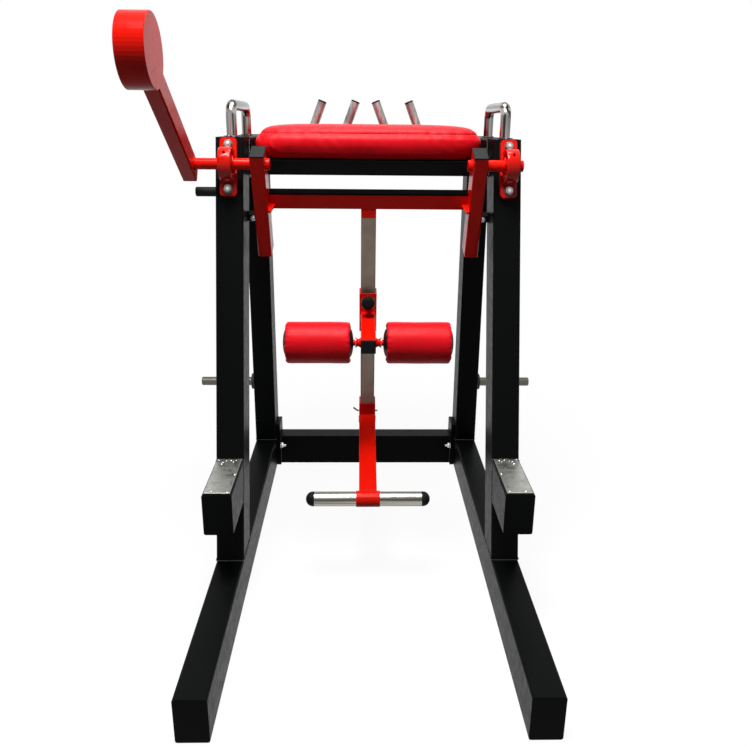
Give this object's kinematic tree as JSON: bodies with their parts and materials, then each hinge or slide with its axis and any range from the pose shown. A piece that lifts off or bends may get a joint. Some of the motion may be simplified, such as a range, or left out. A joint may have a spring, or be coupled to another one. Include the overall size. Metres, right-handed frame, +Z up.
{
  "type": "reverse hyperextension machine",
  "caption": "Reverse hyperextension machine: box tube frame, padded body rest, and a swinging pendulum arm with padded rollers, foot bar and counterweight.",
  "frame": {"origin": "on the floor, at the middle of the bounding box", "axes": "+Z up; -Y is the front, where the rails reach furthest; +X is the user's side with no counterweight"},
  "size_m": [1.31, 1.565, 1.5654],
  "materials": {
    "black_coat": "satin black powder coat",
    "red_coat": "glossy red coat",
    "red_vinyl": "grained coated fabric over foam",
    "bare_steel": "bare, ground",
    "brushed_steel": "brushed",
    "chrome": "polished",
    "zinc": "zinc plated",
    "black_plastic": "matt",
    "black_rubber": "matt",
    "plywood": "raw sheet"
  },
  "bodies": {
    "machine_frame": {"body_pad": "red_vinyl", "front_pad_beam": "black_coat", "grip_bar": "black_coat", "left_base_rail": "black_coat", "left_bearing_insert": "red_coat", "left_bump_stop": "black_rubber", "left_foot_step": "black_coat", "left_front_upright": "black_coat", "left_inner_grip": "chrome", "left_lower_block_bolt": "zinc", "left_outer_grip": "chrome", "left_pillow_block": "red_coat", "left_rear_post": "black_coat", "left_step_plate": "bare_steel", "left_storage_peg": "brushed_steel", "left_top_beam": "black_coat", "left_u_handle": "chrome", "left_upper_block_bolt": "zinc", "pad_board": "plywood", "rear_cross_member": "black_coat", "rear_pad_beam": "black_coat", "right_base_rail": "black_coat", "right_bearing_insert": "red_coat", "right_bump_stop": "black_rubber", "right_foot_step": "black_coat", "right_front_upright": "black_coat", "right_inner_grip": "chrome", "right_lower_block_bolt": "zinc", "right_outer_grip": "chrome", "right_pillow_block": "red_coat", "right_rear_post": "black_coat", "right_step_plate": "bare_steel", "right_storage_peg": "brushed_steel", "right_top_beam": "black_coat", "right_u_handle": "chrome", "right_upper_block_bolt": "zinc", "side_peg": "black_rubber"},
    "pendulum": {"counterweight": "red_coat", "counterweight_arm": "red_coat", "foot_bar": "brushed_steel", "left_arm_cap": "black_plastic", "left_foot_bar_cap": "black_rubber", "left_shaft": "red_coat", "left_side_arm": "red_coat", "lower_lever": "red_coat", "pendulum_crossbar": "red_coat", "pendulum_tube": "brushed_steel", "right_arm_cap": "black_plastic", "right_foot_bar_cap": "black_rubber", "right_shaft": "red_coat", "right_side_arm": "red_coat"},
    "roller_carriage": {"roller_carriage": "red_coat", "roller_tube_cap": "black_plastic", "roller_axle": "red_coat"},
    "left_roller": {"left_roller_foam": "red_vinyl", "left_roller_spool": "black_plastic"},
    "right_roller": {"right_roller_foam": "red_vinyl", "right_roller_spool": "black_plastic"},
    "clamp_knob": {"clamp_knob": "black_plastic"},
    "hitch_pin": {"hitch_pin": "zinc"}
  },
  "joints": [
    {"name": "pendulum_swing", "type": "hinge", "parent": "machine_frame", "child": "pendulum", "pos_m": [0, 0.06375, 1.224], "axis": [-1, 0, 0], "range_deg": [0, 105]},
    {"name": "carriage_slide", "type": "slide", "parent": "pendulum", "child": "roller_carriage", "axis": [0, -0.1305, 0.9914], "range_m": [-0.1, 0.15]},
    {"name": "left_roller_spin", "type": "hinge", "parent": "roller_carriage", "child": "left_roller", "pos_m": [0, 0.02349, 0.7134], "axis": [1, 0, 0], "continuous": true},
    {"name": "right_roller_spin", "type": "hinge", "parent": "roller_carriage", "child": "right_roller", "pos_m": [0, 0.02349, 0.7134], "axis": [1, 0, 0], "continuous": true},
    {"name": "clamp_knob_turn", "type": "hinge", "parent": "roller_carriage", "child": "clamp_knob", "pos_m": [0, 0.15493, 0.81637], "axis": [0, -0.9914, -0.1305], "range_deg": [0, 720]},
    {"name": "hitch_pin_pull", "type": "slide", "parent": "pendulum", "child": "hitch_pin", "axis": [-1, 0, 0], "range_m": [0, 0.085]}
  ]
}
